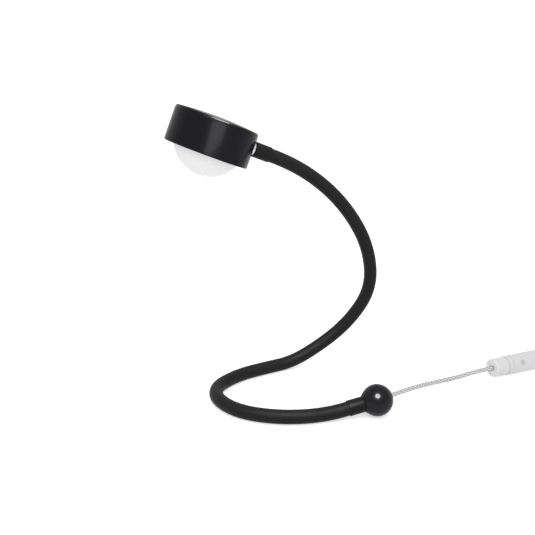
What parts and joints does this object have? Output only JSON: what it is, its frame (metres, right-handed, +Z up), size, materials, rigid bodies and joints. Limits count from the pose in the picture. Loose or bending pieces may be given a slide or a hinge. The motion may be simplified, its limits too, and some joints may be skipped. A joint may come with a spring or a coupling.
{
  "type": "flexible neck reading lamp",
  "caption": "Reading lamp with a drum head and opal dome on a bendable neck, which lies on the table as a loop and ends in a ball, with a corded inline switch and a plug-in driver.",
  "frame": {"origin": "where the ball at the neck's lower end touches the table", "axes": "+Z up, the loop that the lamp stands on lies towards -X, the cord leaves towards +X"},
  "size_m": [0.4695, 0.1505, 0.2537],
  "materials": {
    "black_paint": "satin powder coat",
    "black_ferrule": "satin paint",
    "black_ring": "matt moulding",
    "neck_rubber": "smooth satin silicone sleeve",
    "neck_steel": "wound strip",
    "dark_steel": "blackened",
    "bright_steel": "zinc plated",
    "chrome": "polished",
    "pin_chrome": "nickel plated",
    "aluminium": "cast",
    "opal": "opal, half clear",
    "white_plastic": "semi gloss",
    "white_button": "semi gloss",
    "white_soft": "matt",
    "cord_fabric": "fine braid",
    "circuit_board": "solder mask",
    "board_white": "solder mask",
    "led_yellow": "phosphor",
    "block_plastic": "moulded",
    "wire_plastic": "extruded"
  },
  "bodies": {
    "base": {"base_ball": "black_paint", "ball_ferrule": "black_ferrule", "ball_screw": "dark_steel", "cord_bush": "white_plastic", "neck_sleeve_01": "neck_rubber", "neck_core_01": "neck_steel", "lamp_cord": "cord_fabric", "switch_inlet_cap": "white_plastic", "switch_nut": "white_plastic", "switch_barrel": "white_plastic", "switch_outlet_cap": "white_plastic", "switch_board": "circuit_board", "supply_cord": "cord_fabric", "supply_coil": "cord_fabric", "plug_cord": "cord_fabric", "plug_relief": "white_soft", "plug_cover": "white_plastic", "plug_body": "white_plastic", "plug_pins": "pin_chrome", "plug_board": "circuit_board"},
    "neck_02": {"neck_sleeve_02": "neck_rubber", "neck_core_02": "neck_steel"},
    "neck_03": {"neck_sleeve_03": "neck_rubber", "neck_core_03": "neck_steel"},
    "neck_04": {"neck_sleeve_04": "neck_rubber", "neck_core_04": "neck_steel"},
    "neck_05": {"neck_sleeve_05": "neck_rubber", "neck_core_05": "neck_steel"},
    "neck_06": {"neck_sleeve_06": "neck_rubber", "neck_core_06": "neck_steel"},
    "neck_07": {"neck_sleeve_07": "neck_rubber", "neck_core_07": "neck_steel"},
    "neck_08": {"neck_sleeve_08": "neck_rubber", "neck_core_08": "neck_steel"},
    "neck_09": {"neck_sleeve_09": "neck_rubber", "neck_core_09": "neck_steel"},
    "neck_10": {"neck_sleeve_10": "neck_rubber", "neck_core_10": "neck_steel"},
    "neck_11": {"neck_sleeve_11": "neck_rubber", "neck_core_11": "neck_steel"},
    "neck_12": {"neck_sleeve_12": "neck_rubber", "neck_core_12": "neck_steel"},
    "neck_13": {"neck_sleeve_13": "neck_rubber", "neck_core_13": "neck_steel"},
    "neck_14": {"neck_sleeve_14": "neck_rubber", "neck_core_14": "neck_steel", "head_ferrule": "black_ferrule"},
    "head": {"head_housing": "black_paint", "lens_dome": "opal", "lens_ring": "black_ring", "heat_sink": "aluminium", "led_board": "board_white", "led_chips": "led_yellow", "board_screw": "dark_steel", "head_nipple": "bright_steel", "nipple_nut": "bright_steel", "neck_collar": "chrome", "terminal_block": "block_plastic", "head_wiring": "wire_plastic"},
    "switch_button": {"switch_button": "white_button"}
  },
  "joints": [
    {"name": "neck_bend_01", "type": "hinge", "parent": "base", "child": "neck_02", "pos_m": [-0.05229, -0.01304, 0.006], "axis": [-0.2419, 0.9703, 0], "range_deg": [0, 20]},
    {"name": "neck_bend_02", "type": "hinge", "parent": "neck_02", "child": "neck_03", "pos_m": [-0.10346, -0.01035, 0.006], "axis": [0, 0, 1], "range_deg": [-20, 20]},
    {"name": "neck_bend_03", "type": "hinge", "parent": "neck_03", "child": "neck_04", "pos_m": [-0.13391, 0.01706, 0.006], "axis": [0.8988, 0.4384, 0], "range_deg": [0, 20]},
    {"name": "neck_bend_04", "type": "hinge", "parent": "neck_04", "child": "neck_05", "pos_m": [-0.1322, 0.04958, 0.006], "axis": [0, 0, 1], "range_deg": [-20, 20]},
    {"name": "neck_bend_05", "type": "hinge", "parent": "neck_05", "child": "neck_06", "pos_m": [-0.10648, 0.07577, 0.006], "axis": [0.5446, -0.8387, 0], "range_deg": [0, 20]},
    {"name": "neck_bend_06", "type": "hinge", "parent": "neck_06", "child": "neck_07", "pos_m": [-0.08162, 0.0907, 0.006], "axis": [-0.4495, 0.8109, 0.3746], "range_deg": [-20, 20]},
    {"name": "neck_bend_07", "type": "hinge", "parent": "neck_07", "child": "neck_08", "pos_m": [-0.05685, 0.10165, 0.01201], "axis": [0.2353, 0.512, -0.8261], "range_deg": [-20, 20]},
    {"name": "neck_bend_08", "type": "hinge", "parent": "neck_08", "child": "neck_09", "pos_m": [-0.02882, 0.10907, 0.02959], "axis": [0.4014, -0.8656, -0.2994], "range_deg": [-20, 20]},
    {"name": "neck_bend_09", "type": "hinge", "parent": "neck_09", "child": "neck_10", "pos_m": [-0.00236, 0.11069, 0.0604], "axis": [0.8666, 0.1522, -0.4752], "range_deg": [-20, 20]},
    {"name": "neck_bend_10", "type": "hinge", "parent": "neck_10", "child": "neck_11", "pos_m": [0.00515, 0.10646, 0.0958], "axis": [0.1146, -0.984, -0.1364], "range_deg": [-20, 20]},
    {"name": "neck_bend_11", "type": "hinge", "parent": "neck_11", "child": "neck_12", "pos_m": [-0.00667, 0.09962, 0.13524], "axis": [0.8826, 0.0199, 0.4698], "range_deg": [-20, 20]},
    {"name": "neck_bend_12", "type": "hinge", "parent": "neck_12", "child": "neck_13", "pos_m": [-0.03406, 0.09141, 0.17232], "axis": [0.4207, -0.8842, 0.2028], "range_deg": [-20, 20]},
    {"name": "neck_bend_13", "type": "hinge", "parent": "neck_13", "child": "neck_14", "pos_m": [-0.06466, 0.08233, 0.19624], "axis": [0.447, 0.2154, 0.8682], "range_deg": [-20, 20]},
    {"name": "head_swivel", "type": "hinge", "parent": "neck_14", "child": "head", "pos_m": [-0.08768, 0.07442, 0.20788], "axis": [-0.8781, -0.3061, 0.3677], "range_deg": [-90, 90]},
    {"name": "switch_button", "type": "slide", "parent": "base", "child": "switch_button", "axis": [-0.3686, 0.828, -0.4226], "range_m": [0, 0.001], "stiffness_N_per_m": 400}
  ]
}
